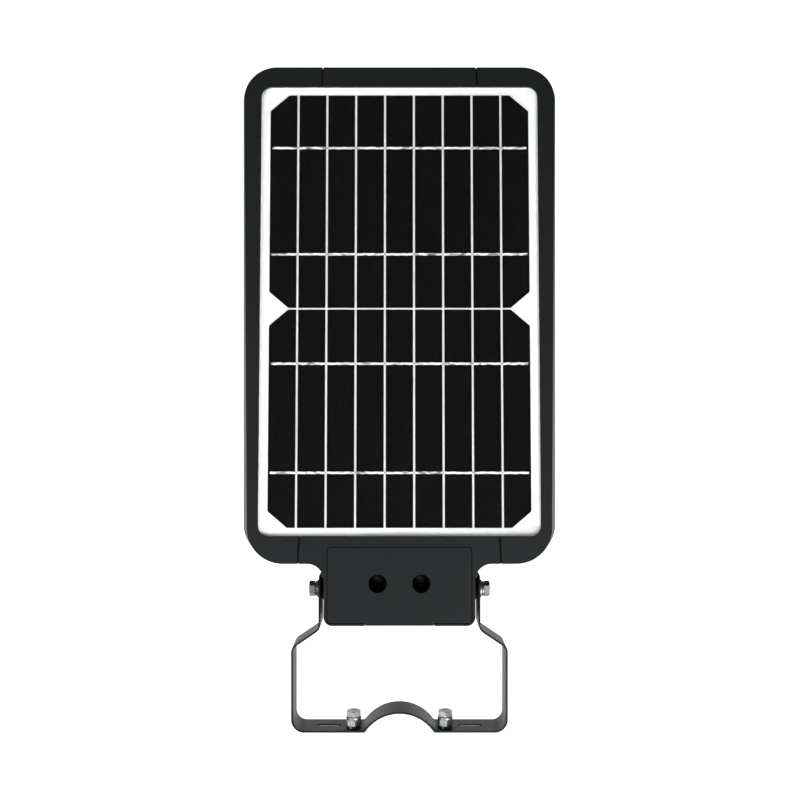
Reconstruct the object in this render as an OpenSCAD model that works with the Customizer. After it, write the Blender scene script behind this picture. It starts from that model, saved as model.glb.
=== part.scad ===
// Solar street lamp head on a U bracket that clamps to a 60 mm pole.
// Frame: +Z is the panel side, +Y runs along the lamp away from the pole,
// the pole axis is the Z axis and the origin lies at the middle of the bracket strip.

/* [Head] */
// Width of the lamp head over the parting line
head_w = 232.4; // [210:0.5:260]
// Length of the head from the shoulder to the far end
head_l = 364.4; // [330:0.1:400]
// Corner radius of the head in plan, at the shoulder
near_r = 25; // [18:0.5:34]
// Corner radius of the head in plan, at the far end
far_r = 24; // [18:0.5:34]
// Slope of the panel face
face_deg = 4; // [2:0.1:6]
// Height of the panel glass over the pivot at the head's middle
face_z = 9.1; // [6:0.1:14]
// Outward draft of the upper side walls
side_deg = 12.5; // [6:0.5:16]
// Outward draft of the lower side walls
under_deg = 8; // [4:0.5:12]
// Height of the parting line
part_z = -8; // [-10:0.5:-7]
// Height of the underside of the two lamp wings
wing_z = -20; // [-24:0.5:-19]
// Half width of the spine at the far end
seam_far = 56.8; // [50:0.1:60]
// Half width of the spine at the shoulder
seam_near = 73.1; // [66:0.1:76]
// Wall thickness of the castings
wall = 3; // [2.5:0.1:4]
// Thickness of the wing floors
floor_t = 6; // [5:0.5:8]

/* [Neck] */
// Width of the neck
neck_w = 108.8; // [100:0.2:109]
// Distance from the pivot back to the end of the neck
neck_back = 22.8; // [20:0.1:25]
// Distance from the pivot forward to the shoulder
neck_front = 21.2; // [20:0.1:26]
// Height of the underside of the neck and spine
spine_z = -24; // [-28:0.5:-22]
// Radius where the neck meets the shoulder
neck_fillet = 12; // [8:0.5:14]
// Width of the neck cover plate
cap_w = 103.6; // [90:0.2:104]
// Length of the neck cover plate
cap_l = 54; // [46:0.5:56]
// Thickness of the neck cover plate
cap_t = 2.5; // [2:0.1:3.5]
// Diameter of the two screw wells
well_d = 13; // [11:0.5:15]
// Distance between the two screw wells
well_gap = 31.4; // [26:0.2:36]
// Depth of the screw wells
well_deep = 18; // [12:0.5:18]

/* [Panel] */
// Width of the solar laminate
panel_w = 203.8; // [180:0.5:215]
// Length of the solar laminate
panel_l = 330.2; // [300:0.5:340]
// Corner radius of the laminate
panel_r = 7.5; // [4:0.5:12]
// How far the laminate lies off the middle of the head, towards its far end
panel_up = 2.4; // [0:0.1:4]
// Thickness of the glass
glass_t = 2; // [2:0.1:3.2]
// Width of one cell strip
cell_w = 19.84; // [16:0.01:22]
// Length of one cell strip
cell_l = 158.75; // [120:0.05:160]
// Gap between neighbouring strips
cell_gap = 1.51; // [1:0.01:2.4]
// Gap between the two rows of strips
row_gap = 1.26; // [1:0.01:2.4]
// Bevelled corner of the end strips, across
cell_cut_x = 13.9; // [6:0.1:16]
// Bevelled corner of the end strips, along
cell_cut_y = 11.9; // [6:0.1:16]
// Width of a cell ribbon
ribbon_w = 1.6; // [1:0.1:2.5]

/* [Bracket] */
// Diameter of the pole the saddle fits
pole_d = 60; // [50:0.5:76]
// Width of the bracket strip
strip_w = 30; // [26:0.5:36]
// Thickness of the bracket strip
strip_t = 1.5; // [1.5:0.1:2.5]
// Distance from the pole axis to the back of the bracket base
base_y = 16.4; // [15:0.1:17.2]
// Outer width of the bracket at the base
base_w = 157.2; // [140:0.1:180]
// Height of the outer bends over the base
bow_up = 75.5; // [70:0.1:80]
// Distance from the pole axis to the tilt pivot
pivot_y = 118.6; // [105:0.1:140]
// Rise of the ears over the pivot
ear_up = 11; // [9:0.5:13]
// Corner radius of the ears
ear_r = 8; // [4:0.5:12]
// Radius of the bracket's bends
bend_r = 7; // [5:0.5:9]
// Radius of the base corners
foot_r = 8.75; // [6:0.25:11]
// Distance between the clamp bolts
clamp_gap = 67; // [64:0.5:74]
// Distance of the clamp bolts from the middle of the strip, across it
clamp_off = 5.5; // [0:0.1:7]
// Distance between the two base slots
slot_gap = 104; // [98:0.5:112]
// Length of a base slot
slot_l = 18; // [14:0.5:20]
// Width of a base slot
slot_w = 4.8; // [4:0.1:8]

/* [Fasteners] */
// Bolt diameter at the pivot and the clamp
bolt_d = 6; // [5:0.5:8]
// Width across the flats of the bolt heads
bolt_af = 10; // [8:0.5:13]
// Height of the bolt heads
bolt_k = 4.2; // [3:0.1:6]
// Clearance of a bolt in its hole, on the diameter
bolt_play = 0.6; // [0.6:0.1:1]

/* [Lamps] */
// Width of a lens plate
lens_w = 30; // [24:0.5:32]
// Length of a lens plate
lens_l = 300; // [240:1:310]
// Rows of lamps along a wing
led_rows = 12; // [8:1:14]
// Radius of a lens dome
dome_r = 6; // [4:0.5:6.5]

/* [Battery and controls] */
// Diameter of a battery cell
cell_d = 32.2; // [26:0.1:33]
// Length of a battery cell
batt_l = 70; // [60:0.5:72]
// Depth of the battery bulge below the spine
bulge = 10; // [8:0.5:14]
// Diameter of the power button
button_d = 10; // [8:0.5:14]
// Travel of the power button
button_travel = 1.2; // [0.8:0.1:1.6]
// Radius of the motion sensor dome
pir_r = 11.5; // [9:0.5:13]

/* [Hidden] */
$fn = 64;
paint = [0.16, 0.17, 0.18];
zinc = [0.74, 0.76, 0.80];
wire_d = 1.6;
far_y = pivot_y + neck_front + head_l;
near_y = pivot_y + neck_front;
mid_y = (far_y + near_y) / 2;
back_y = pivot_y - neck_back;
rim = 0.4;
cell_t = 0.25;
ribbon_t = 0.15;
eva_t = 0.3;
sheet_t = 0.3;
seal_t = 0.8;
lam_t = glass_t + ribbon_t + cell_t + eva_t + sheet_t;
ledge = lam_t + seal_t;
seam_play = 0.1;
seam_ang = atan((seam_near - seam_far) / head_l);
hole_r = bolt_d / 2 + bolt_play / 2;
shank_r = bolt_d / 2;
lens_x = (head_w - lens_w) / 2 - 5.5;
lens_y = mid_y;
lens_t = 3;
board_t = 1.6;
chip_t = 0.7;
board_w = lens_w - 7;
board_l = lens_l - 14;
led_dx = 12;
led_dy = (lens_l - 30) / led_rows;
batt_y = near_y + 140;
batt_z = -13.5;
cover_z = spine_z - 1;
cover_t = 2.5;
pir_y = far_y - 50;
button_y = near_y + 22;
board_z = -14;
vent_y = near_y + 44;
arm_x = neck_w / 2 + 2.85;

function seam(y) = seam_near + (seam_far - seam_near) * (y - near_y) / head_l;
function face_h(y) = face_z - (y - mid_y) * tan(face_deg);

module at_face() {
  translate([0, mid_y, face_z])
    rotate([-face_deg, 0, 0])
      children();
}

module at_panel() {
  at_face()
    translate([0, panel_up, 0])
      children();
}

module round_rect(w, l, r) {
  union() {
    square([w - 2 * r, l], center = true);
    square([w, l - 2 * r], center = true);
    for (sx = [-1, 1], sy = [-1, 1])
      translate([sx * (w / 2 - r), sy * (l / 2 - r)])
        circle(r = r);
  }
}

module slab(w, l, r, z0, z1) {
  translate([0, 0, z0])
    linear_extrude(height = z1 - z0)
      round_rect(w, l, r);
}

// Everything between the two seams, grown by g on each side
module between_seams(g, z0, z1) {
  translate([0, 0, z0])
    linear_extrude(height = z1 - z0)
      polygon([[-seam(near_y - 60) - g, near_y - 60], [seam(near_y - 60) + g, near_y - 60],
        [seam(far_y + 20) + g, far_y + 20], [-seam(far_y + 20) - g, far_y + 20]]);
}

// The space on one side of a seam, from g outside it
module beyond_seam(g, z0, z1) {
  translate([0, 0, z0])
    linear_extrude(height = z1 - z0)
      polygon([[seam(near_y - 60) + g, near_y - 60], [head_w, near_y - 60],
        [head_w, far_y + 20], [seam(far_y + 20) + g, far_y + 20]]);
}

module above_face(z) {
  at_face()
    translate([-head_w, -head_l, z])
      cube([head_w * 2, head_l * 2, 80]);
}

// Plan of the head with its two right corners rounded, running on past the left ones
module right_plan() {
  union() {
    translate([-head_w, -head_l / 2])
      square([head_w * 1.5 - near_r, head_l]);
    translate([0, -head_l / 2 + near_r])
      square([head_w / 2 - far_r, head_l - near_r]);
    translate([0, -head_l / 2 + near_r])
      square([head_w / 2, head_l - near_r - far_r]);
    translate([head_w / 2 - near_r, -head_l / 2 + near_r])
      circle(r = near_r);
    translate([head_w / 2 - far_r, head_l / 2 - far_r])
      circle(r = far_r);
  }
}

// That plan drawn up into a block whose right wall leans in by deg over the parting line
module leaning_wall(deg) {
  translate([head_w / 2, mid_y, part_z])
    rotate([0, -deg, 0])
      translate([-head_w / 2, 0, -60])
        linear_extrude(height = 140)
          right_plan();
}

// Outer form of the head outside the seams
module head_form() {
  difference() {
    intersection() {
      leaning_wall(side_deg);
      mirror([1, 0, 0])
        leaning_wall(side_deg);
      leaning_wall(-under_deg);
      mirror([1, 0, 0])
        leaning_wall(-under_deg);
      translate([-head_w, near_y - 10, wing_z])
        cube([2 * head_w, head_l + 20, 60]);
    }
    above_face(rim);
  }
}

module panel_pocket() {
  at_panel()
    slab(panel_w + 0.4, panel_l + 0.4, panel_r + 0.2, -ledge, 20);
}

// The open middle inside the panel's ledge
module panel_window() {
  at_panel()
    slab(panel_w - 9, panel_l - 9, panel_r, -ledge - 30, 0);
}

module seam_groove() {
  for (s = [-1, 1])
    translate([s * seam(mid_y), mid_y, face_z])
      rotate([-face_deg, 0, s * seam_ang])
        translate([0, 0, rim])
          cube([1.1, head_l + 40, 2.4], center = true);
}

module pivot_axis(x0, x1, r) {
  for (s = [-1, 1])
    translate([s * (x0 + x1) / 2, pivot_y, 0])
      rotate([0, 90, 0])
        cylinder(h = x1 - x0, r = r, center = true);
}

module hex(af, h) {
  cylinder(h = h, r = af / 2 / cos(30), $fn = 6);
}

module rod(a, b, r) {
  d = b - a;
  l = norm(d);
  translate(a)
    rotate([0, acos(d[2] / l), atan2(d[1], d[0])])
      cylinder(h = l, r = r);
}

module wire(points, r) {
  union() {
    for (i = [0 : len(points) - 2])
      rod(points[i], points[i + 1], r);
    if (len(points) > 2)
      for (i = [1 : len(points) - 2])
        translate(points[i])
          sphere(r = r + 0.2);
  }
}

// ---- bracket -------------------------------------------------------------

slant = 34;
leg_o = base_w / 2;
ear_o = arm_x + strip_t;
lift = strip_t * tan((90 - slant) / 2);
bow_o = base_y + bow_up;
drop = (leg_o - ear_o) * tan(slant);
out_r = pole_d / 2;
nip_r = 2;
nip_y = base_y + nip_r;
nip_x = sqrt(pow(out_r + nip_r, 2) - pow(nip_y, 2));
nip_a = atan2(nip_y, nip_x);
crook_r = 3;
crook_y = base_y + strip_t + crook_r;
crook_x = sqrt(pow(out_r + strip_t + crook_r, 2) - pow(crook_y, 2));
crook_a = atan2(crook_y, crook_x);
top_y = pivot_y + ear_up;

function unit(v) = v / norm(v);

// Corner P between the directions to A and B, out to the arc of radius r that touches both
module corner_tip(a, p, b, r, h) {
  u = unit(a - p);
  v = unit(b - p);
  half = acos(u * v) / 2;
  m = unit(u + v);
  c = p + m * r / sin(half);
  t = r / tan(half);
  difference() {
    linear_extrude(height = h, center = true)
      polygon([c, p + u * t, p - m, p + v * t]);
    translate([c[0], c[1], 0])
      cylinder(h = h + 2, r = r + 0.02, center = true);
  }
}

module both() {
  children();
  mirror([1, 0, 0])
    children();
}

// Everything inside the outer face (e = 0) or the inner face of the bent strip
module strip_block(e, h, y0, top, r1, r2, r3) {
  x0 = ear_o - e;
  x1 = leg_o - e;
  y1 = bow_o - (e > 0 ? lift : 0);
  y2 = y1 - drop;
  difference() {
    union() {
      linear_extrude(height = h, center = true)
        polygon([[x0, top], [x0, y1], [x1, y2], [x1, y0], [-x1, y0], [-x1, y2], [-x0, y1],
          [-x0, top]]);
      both()
        corner_tip([x0, top], [x0, y1], [x1, y2], r1, h);
    }
    both() {
      corner_tip([x0, y1], [x1, y2], [x1, y0], r2, h + 2);
      corner_tip([x1, y2], [x1, y0], [0, y0], r3, h + 2);
    }
  }
}

module bent_strip() {
  g = strip_t / 2;
  h = strip_w + 4;
  difference() {
    strip_block(0, strip_w, base_y, top_y, bend_r - g, bend_r + g, foot_r + g);
    difference() {
      strip_block(strip_t, h, base_y + strip_t, top_y + 5, bend_r + g, bend_r - g, foot_r - g);
      cylinder(h = h + 2, r = out_r + strip_t, center = true);
      both()
        difference() {
          linear_extrude(height = h + 2, center = true)
            polygon([[crook_x, crook_y], [crook_x, crook_y - crook_r - g],
              [crook_x - 1.8, crook_y - crook_r - g], (out_r + g) * [cos(crook_a), sin(crook_a)]]);
          translate([crook_x, crook_y, 0])
            cylinder(h = h + 4, r = crook_r + 0.02, center = true);
        }
    }
    cylinder(h = h, r = out_r, center = true);
    both()
      difference() {
        linear_extrude(height = h, center = true)
          polygon([[nip_x, nip_y], [nip_x, base_y], [nip_x - 1.4, base_y - 1],
            out_r * [cos(nip_a), sin(nip_a)]]);
        translate([nip_x, nip_y, 0])
          cylinder(h = h + 2, r = nip_r + 0.02, center = true);
      }
  }
}

module bracket() {
  color(paint)
    difference() {
      bent_strip();
      pivot_axis(arm_x - 8, arm_x + 10, hole_r);
      for (s = [-1, 1], t = [-1, 1])
        translate([s * arm_x, top_y, t * strip_w / 2])
          rotate([0, 90, 0])
            linear_extrude(height = 10, center = true)
              difference() {
                square(ear_r * 2, center = true);
                translate([t * ear_r, -ear_r])
                  circle(r = ear_r);
                translate([t * ear_r, -ear_r * 1.5])
                  square([ear_r * 3, ear_r], center = true);
              }
      for (s = [-1, 1]) {
        translate([s * clamp_gap / 2, base_y, clamp_off])
          rotate([90, 0, 0])
            cylinder(h = 10, r = hole_r, center = true);
        translate([s * slot_gap / 2, base_y, 0])
          rotate([90, 0, 0])
            linear_extrude(height = 10, center = true)
              union() {
                square([slot_l - slot_w, slot_w], center = true);
                for (t = [-1, 1])
                  translate([t * (slot_l - slot_w) / 2, 0])
                    circle(r = slot_w / 2);
              }
      }
    }
}

star_t = 1.4;
nut_t = 5;
collar_t = 2;
base_top = base_y + strip_t;

module at_clamp(y) {
  for (s = [-1, 1])
    translate([s * clamp_gap / 2, y, clamp_off])
      rotate([-90, 0, 0])
        children();
}

module star_washers() {
  color(zinc)
    at_clamp(base_top)
      difference() {
        union() {
          cylinder(h = star_t, r = shank_r + 1.8);
          for (i = [0 : 9])
            rotate([0, 0, i * 36])
              translate([0, -0.7, 0])
                cube([shank_r + 3, 1.4, star_t]);
        }
        translate([0, 0, -1])
          cylinder(h = star_t + 2, r = shank_r + 0.1);
      }
}

module clamp_nuts() {
  color(zinc)
    at_clamp(base_top + star_t)
      difference() {
        rotate([0, 0, 42])
          hex(bolt_af, nut_t);
        translate([0, 0, -1])
          cylinder(h = nut_t + 2, r = shank_r + 0.05);
      }
}

module clamp_collars() {
  color(zinc)
    at_clamp(base_top + star_t + nut_t)
      difference() {
        cylinder(h = collar_t, r = bolt_af / 2 + 0.6);
        translate([0, 0, -1])
          cylinder(h = collar_t + 2, r = shank_r + 0.1);
      }
}

module clamp_bolts() {
  color(zinc)
    at_clamp(base_top + star_t + nut_t + collar_t)
      union() {
        rotate([0, 0, 30])
          hex(bolt_af, bolt_k);
        translate([0, 0, -star_t - nut_t - collar_t - strip_t])
          cylinder(h = star_t + nut_t + collar_t + strip_t + 0.2, r = shank_r);
      }
}

// ---- tilt pivot ----------------------------------------------------------

play = 0.1;
washer_x = arm_x + strip_t + play;
washer_t = 1.6;
spring_t = 1.8;

module ring_on_pivot(x0, t, r, bore) {
  difference() {
    pivot_axis(x0, x0 + t, r);
    pivot_axis(x0 - 1, x0 + t + 1, bore);
  }
}

module pivot_bushes() {
  color([0.1, 0.1, 0.1])
    ring_on_pivot(neck_w / 2, arm_x - neck_w / 2 - play, 8, shank_r + 0.3);
}

module pivot_washers() {
  color(zinc)
    ring_on_pivot(washer_x, washer_t, 6.4, shank_r + 0.2);
}

module pivot_springs() {
  color(zinc)
    ring_on_pivot(washer_x + washer_t, spring_t, 5.4, shank_r + 0.2);
}

module pivot_bolts() {
  color(zinc)
    union() {
      pivot_axis(neck_w / 2 - 13, washer_x + washer_t + spring_t + 1, shank_r);
      for (s = [-1, 1])
        translate([s * (washer_x + washer_t + spring_t), pivot_y, 0])
          rotate([0, s * 90, 0])
            rotate([0, 0, 30])
              hex(bolt_af, bolt_k);
    }
}

module pivot_inserts() {
  color([0.8, 0.65, 0.3])
    ring_on_pivot(neck_w / 2 - 12, 11.5, shank_r + 1.6, shank_r + 0.05);
}

// ---- housing -------------------------------------------------------------

module neck_plan() {
  difference() {
    union() {
      translate([0, (back_y + near_y) / 2 + 15])
        round_rect(neck_w, near_y - back_y + 30, 6.2);
      translate([0, near_y - neck_fillet / 2 + 1])
        square([neck_w + 2 * neck_fillet, neck_fillet + 2], center = true);
    }
    for (s = [-1, 1])
      translate([s * (neck_w / 2 + neck_fillet), near_y - neck_fillet])
        circle(r = neck_fillet);
  }
}

module spine_form() {
  difference() {
    union() {
      intersection() {
        between_seams(-seam_play, spine_z, 60);
        translate([0, mid_y, 0])
          slab(head_w, head_l, far_r, -60, 40);
      }
      translate([0, 0, spine_z])
        linear_extrude(height = 60)
          neck_plan();
    }
    above_face(rim);
  }
}

cap_edge = 1.9;
cap_tab = 49;
cap_y = back_y + cap_edge + cap_l / 2;
well_y = pivot_y + 7.2;
boss_rows = [12, 118, 238, head_l - 10];

module spine_housing() {
  color(paint)
    union() {
      difference() {
        spine_form();
        panel_pocket();
        seam_groove();
        // inside between the seams, open below and above
        intersection() {
          between_seams(-seam_play - wall, -60, 60);
          union() {
            translate([0, mid_y, 0])
              slab(head_w, head_l - 2 * wall - 4, 4, -60, part_z + 1);
            panel_window();
          }
        }
        // inside of the neck
        difference() {
          translate([0, (back_y + near_y) / 2 + 9, 0])
            slab(neck_w - 7.6, near_y - back_y + 11, 4, spine_z + wall, 60);
          translate([0, near_y + 50 + 8.5, 0])
            cube([300, 100, 200], center = true);
        }
        translate([0, near_y + 6, (spine_z + wall + 8) / 2])
          cube([neck_w - 7.6, 24, 8 - spine_z - wall], center = true);
        translate([-neck_w / 2 + 6, near_y - 2, spine_z + wall])
          cube([neck_w - 12, 34, 8 - spine_z - wall]);
        // seat of the neck cover
        cap_form(0.4, -cap_t - seal_t, 20);
        pivot_axis(neck_w / 2 - 14, neck_w / 2 + 10, shank_r + 1.65);
        for (m = [0, 1])
          mirror([m, 0, 0]) {
            for (d = screw_rows)
              seam_screw_axis(near_y + d, wing_z + 3, -wall - 2, 2, 1.8);
            seam_screw_axis(near_y + lead_d, lead_z, -wall - 6, 6, 1.9);
          }
      }
      difference() {
        pivot_axis(neck_w / 2 - 14, neck_w / 2 - 3, 9);
        pivot_axis(neck_w / 2 - 16, neck_w / 2 + 10, shank_r + 1.65);
      }
      // columns under the screw wells
      for (s = [-1, 1])
        difference() {
          translate([s * well_gap / 2, well_y, spine_z + 1])
            cylinder(h = face_h(well_y) - well_deep - 2.4 - spine_z - 1, r = 5.5);
          translate([s * well_gap / 2, well_y, face_h(well_y) - well_deep - 14])
            cylinder(h = 40, r = 2.1);
        }
      // cover bosses along the walls
      for (s = [-1, 1], d = boss_rows)
        difference() {
          translate([s * (seam(near_y + d) - wall - 3.2), near_y + d, spine_z])
            cylinder(h = 11, r = 4.2);
          translate([s * (seam(near_y + d) - wall - 3.2), near_y + d, cover_z - 1])
            cylinder(h = 10, r = 1.65);
        }
      // two ribs that carry the battery tray
      for (d = [batt_y - batt_l - 12, batt_y + batt_l + 12])
        intersection() {
          translate([-100, d - 3, spine_z + 1])
            cube([200, 6, 9]);
          between_seams(-1, -60, 60);
        }
    }
}

// ---- neck cover ----------------------------------------------------------

module on_face(y) {
  translate([0, y, face_h(y)])
    rotate([-face_deg, 0, 0])
      children();
}

// The cover's plan grown by g: a rounded plate with a tab that laps the back edge
module cap_form(g, z0, z1) {
  on_face(cap_y)
    union() {
      slab(cap_w + 2 * g, cap_l + 2 * g, 2.5 + g, z0, z1);
      translate([-cap_tab / 2 - g, -cap_l / 2 - cap_edge + 0.1 - 4 * g, z0])
        cube([cap_tab + 2 * g, 8, z1 - z0]);
    }
}

module at_wells() {
  for (s = [-1, 1])
    translate([s * well_gap / 2, well_y, face_h(well_y)])
      children();
}

module neck_cover() {
  color(paint)
    difference() {
      union() {
        cap_form(0, -cap_t, rim - 0.1);
        at_wells()
          translate([0, 0, -well_deep - 2.2])
            cylinder(h = well_deep + 1, r = well_d / 2 + 2);
      }
      at_wells() {
        translate([0, 0, -well_deep])
          cylinder(h = well_deep + 10, r = well_d / 2);
        translate([0, 0, -well_deep - 5])
          cylinder(h = 10, r = 2.8);
      }
    }
}

module neck_gasket() {
  color([0.08, 0.08, 0.08])
    difference() {
      cap_form(0, -cap_t - seal_t, -cap_t);
      on_face(cap_y)
        slab(cap_w - 3, cap_l - 3, 2, -cap_t - 3, 3);
    }
}

module neck_screws() {
  color([0.2, 0.2, 0.22])
    at_wells()
      translate([0, 0, -well_deep])
        difference() {
          union() {
            cylinder(h = 1.6, r = 4.6);
            translate([0, 0, 1.6])
              intersection() {
                translate([0, 0, -4.2])
                  sphere(r = 6.2);
                cylinder(h = 3, r = 4.6);
              }
            translate([0, 0, -10])
              cylinder(h = 11, r = 2);
          }
          translate([0, 0, 1.8])
            hex(2.6, 6);
        }
}

// ---- side rails ----------------------------------------------------------

screw_rows = [48, 130, 252, 330];
lead_d = 42;
lead_z = wing_z + floor_t + 6;

module seam_screw_axis(y, z, l0, l1, r) {
  translate([seam(y), y, z])
    rotate([0, 0, seam_ang])
      translate([(l0 + l1) / 2, 0, 0])
        rotate([0, 90, 0])
          cylinder(h = l1 - l0, r = r, center = true);
}

module rail() {
  difference() {
    intersection() {
      head_form();
      beyond_seam(seam_play, -60, 60);
    }
    panel_pocket();
    seam_groove();
    // hollow between floor and ledge
    intersection() {
      beyond_seam(seam_play + 2.4, wing_z + floor_t, 60);
      union() {
        difference() {
          translate([0, mid_y, 0])
            slab(panel_w + 6, head_l - 2 * wall - 4, far_r - 6, wing_z + floor_t, 60);
          above_face(-ledge - 2);
        }
        panel_window();
      }
    }
    // seat of the lens plate and of the lamp board
    translate([lens_x, lens_y, 0]) {
      slab(lens_w + 0.4, lens_l + 0.4, 4.2, wing_z - 5, wing_z + lens_t);
      slab(board_w + 0.4, board_l + 0.4, 1, wing_z - 5, wing_z + lens_t + board_t + 0.4);
    }
    translate([lens_x, lens_y - lens_l / 2 + 14, wing_z])
      cylinder(h = 20, r = 2.5);
    lens_holes(1.1);
    for (d = screw_rows)
      seam_screw_axis(near_y + d, wing_z + 3, -1, 6.5, 1.55);
    seam_screw_axis(near_y + lead_d, lead_z, -wall - 6, 6, 1.9);
  }
}

module lens_holes(r) {
  translate([lens_x, lens_y, wing_z - 1])
    for (s = [-1, 1], i = [-2 : 2])
      translate([s * (lens_w / 2 - 1.9), i * (lens_l / 2 - 5) / 2, 0])
        cylinder(h = 6, r = r);
}

module right_rail() {
  color(paint)
    rail();
}

module left_rail() {
  color(paint)
    mirror([1, 0, 0])
      rail();
}

module rail_screws() {
  color(zinc)
    for (m = [0, 1])
      mirror([m, 0, 0])
        for (d = screw_rows)
          union() {
            seam_screw_axis(near_y + d, wing_z + 3, -wall - seam_play - 2.2,
              -wall - seam_play, 3.4);
            seam_screw_axis(near_y + d, wing_z + 3, -wall - seam_play - 0.5, 6, 1.5);
          }
}

// ---- lamps ---------------------------------------------------------------

module at_leds() {
  for (s = [-1, 1], i = [0 : led_rows - 1])
    translate([s * led_dx / 2, (i - (led_rows - 1) / 2) * led_dy, 0])
      children();
}

module both_sides() {
  for (m = [0, 1])
    mirror([m, 0, 0])
      translate([lens_x, lens_y, 0])
        children();
}

module led_boards() {
  color([0.9, 0.9, 0.88])
    both_sides()
      difference() {
        slab(board_w, board_l, 1, wing_z + lens_t + 0.4, wing_z + lens_t + 0.4 + board_t);
        translate([0, -lens_l / 2 + 14, wing_z])
          cylinder(h = 20, r = 1.5);
      }
}

module led_chips() {
  color([0.95, 0.85, 0.4])
    both_sides()
      at_leds()
        translate([0, 0, wing_z + lens_t + 0.4 - chip_t / 2])
          cube([3, 3, chip_t], center = true);
}

module lens() {
  translate([lens_x, lens_y, 0])
    difference() {
      union() {
        slab(lens_w, lens_l, 4, wing_z, wing_z + lens_t);
        at_leds()
          translate([0, 0, wing_z + 1.5])
            intersection() {
              sphere(r = dome_r);
              translate([0, 0, -dome_r])
                cylinder(h = dome_r, r = dome_r);
            }
      }
      at_leds()
        translate([0, 0, wing_z + 1.2])
          cylinder(h = 4, r = 2.6);
      for (s = [-1, 1], i = [-2 : 2])
        translate([s * (lens_w / 2 - 1.9), i * (lens_l / 2 - 5) / 2, wing_z - 1])
          cylinder(h = 6, r = 1.3);
    }
}

module right_lens() {
  color([0.9, 0.93, 0.95])
    lens();
}

module left_lens() {
  color([0.9, 0.93, 0.95])
    mirror([1, 0, 0])
      lens();
}

module lens_screws() {
  color(zinc)
    both_sides()
      for (s = [-1, 1], i = [-2 : 2])
        translate([s * (lens_w / 2 - 1.9), i * (lens_l / 2 - 5) / 2, wing_z])
          union() {
            translate([0, 0, -1.4])
              cylinder(h = 1.4, r = 1.8);
            translate([0, 0, -0.2])
              cylinder(h = 4.8, r = 1);
          }
}

// ---- solar panel ---------------------------------------------------------

array_w = 9 * cell_w + 8 * cell_gap;

module solar_glass() {
  color([0.55, 0.6, 0.65])
    at_panel()
      slab(panel_w, panel_l, panel_r, -glass_t, 0);
}

module cell_ribbons() {
  color([0.8, 0.8, 0.8])
    at_panel()
      for (s = [-1, 1], t = [-1, 1])
        translate([0, s * (cell_l + row_gap) / 2 + t * cell_l / 4,
          -glass_t - ribbon_t / 2])
          cube([array_w - 3, ribbon_w, ribbon_t], center = true);
}

module cell(cut) {
  h = cell_l / 2;
  w = cell_w / 2;
  cx = cut * cell_cut_x;
  cy = cut * cell_cut_y;
  linear_extrude(height = cell_t)
    polygon(cut > 0
      ? [[-w, -h], [w - cx, -h], [w, -h + cy], [w, h - cy], [w - cx, h], [-w, h]]
      : [[-w, -h], [w, -h], [w, h], [-w, h]]);
}

module solar_cells() {
  color([0.03, 0.03, 0.035])
    at_panel()
      for (s = [-1, 1], i = [-4 : 4])
        translate([i * (cell_w + cell_gap), s * (cell_l + row_gap) / 2,
          -glass_t - ribbon_t - cell_t])
          if (abs(i) == 4)
            mirror([i < 0 ? 1 : 0, 0, 0])
              cell(1);
          else
            cell(0);
}

module encapsulant() {
  color([0.95, 0.95, 0.95])
    at_panel()
      slab(panel_w, panel_l, panel_r, -lam_t + sheet_t, -lam_t + sheet_t + eva_t);
}

module backsheet() {
  color([0.98, 0.98, 0.98])
    at_panel()
      slab(panel_w, panel_l, panel_r, -lam_t, -lam_t + sheet_t);
}

module panel_seal() {
  color([0.85, 0.85, 0.85])
    at_panel()
      difference() {
        slab(panel_w, panel_l, panel_r, -ledge, -lam_t);
        slab(panel_w - 8, panel_l - 8, panel_r - 3, -ledge - 1, 0);
      }
}

box_y = near_y + 62;

module junction_box() {
  color([0.12, 0.12, 0.12])
    on_face(box_y)
      slab(44, 26, 3, -lam_t - 7, -lam_t - 0.02);
}

function lead_end(s) = [s * 8, near_y + 37, board_z + board_t + 5.7];

module panel_leads() {
  z = face_h(box_y) - lam_t - 4.5;
  color([0.7, 0.1, 0.1])
    for (s = [-1, 1])
      wire([[s * 8, box_y - 14.6, z + 1], [s * 9.5, near_y + 43, z - 6], lead_end(s)], wire_d / 2);
}

// ---- battery -------------------------------------------------------------

module at_cells() {
  for (s = [-1, 1], t = [-1, 1])
    translate([s * (cell_d / 2 + 0.3), batt_y + t * (batt_l / 2 + 1.2), batt_z])
      rotate([90, 0, 0])
        children();
}

module battery_cells() {
  color([0.1, 0.25, 0.55])
    at_cells()
      union() {
        cylinder(h = batt_l - 2, r = cell_d / 2, center = true);
        cylinder(h = batt_l, r = 6, center = true);
      }
}

tray_w = 2 * cell_d + 6;
tray_l = 2 * batt_l + 14;

module battery_tray() {
  color([0.15, 0.15, 0.15])
    difference() {
      union() {
        translate([-tray_w / 2, batt_y - tray_l / 2, batt_z - cell_d / 2 - 1.2])
          cube([tray_w, tray_l, cell_d * 0.55]);
        for (t = [-1, 1])
          translate([-seam_far + wall + 4, batt_y + t * (batt_l + 9) - 7, spine_z + 10])
            cube([2 * (seam_far - wall - 4), 14, 3]);
        for (t = [-1, 1])
          translate([-tray_w / 2, batt_y + t * (batt_l + 5) - 3, batt_z - cell_d / 2 - 1.2])
            cube([tray_w, 6, spine_z + 13 - batt_z + cell_d / 2 + 1.2]);
      }
      for (s = [-1, 1])
        translate([s * (cell_d / 2 + 0.3), batt_y, batt_z])
          rotate([90, 0, 0])
            cylinder(h = 2 * batt_l + 6, r = cell_d / 2 + 0.15, center = true);
      for (s = [-1, 1], t = [-1, 1])
        translate([s * 44, batt_y + t * (batt_l + 12), spine_z])
          cylinder(h = 30, r = 1.7);
    }
}

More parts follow.
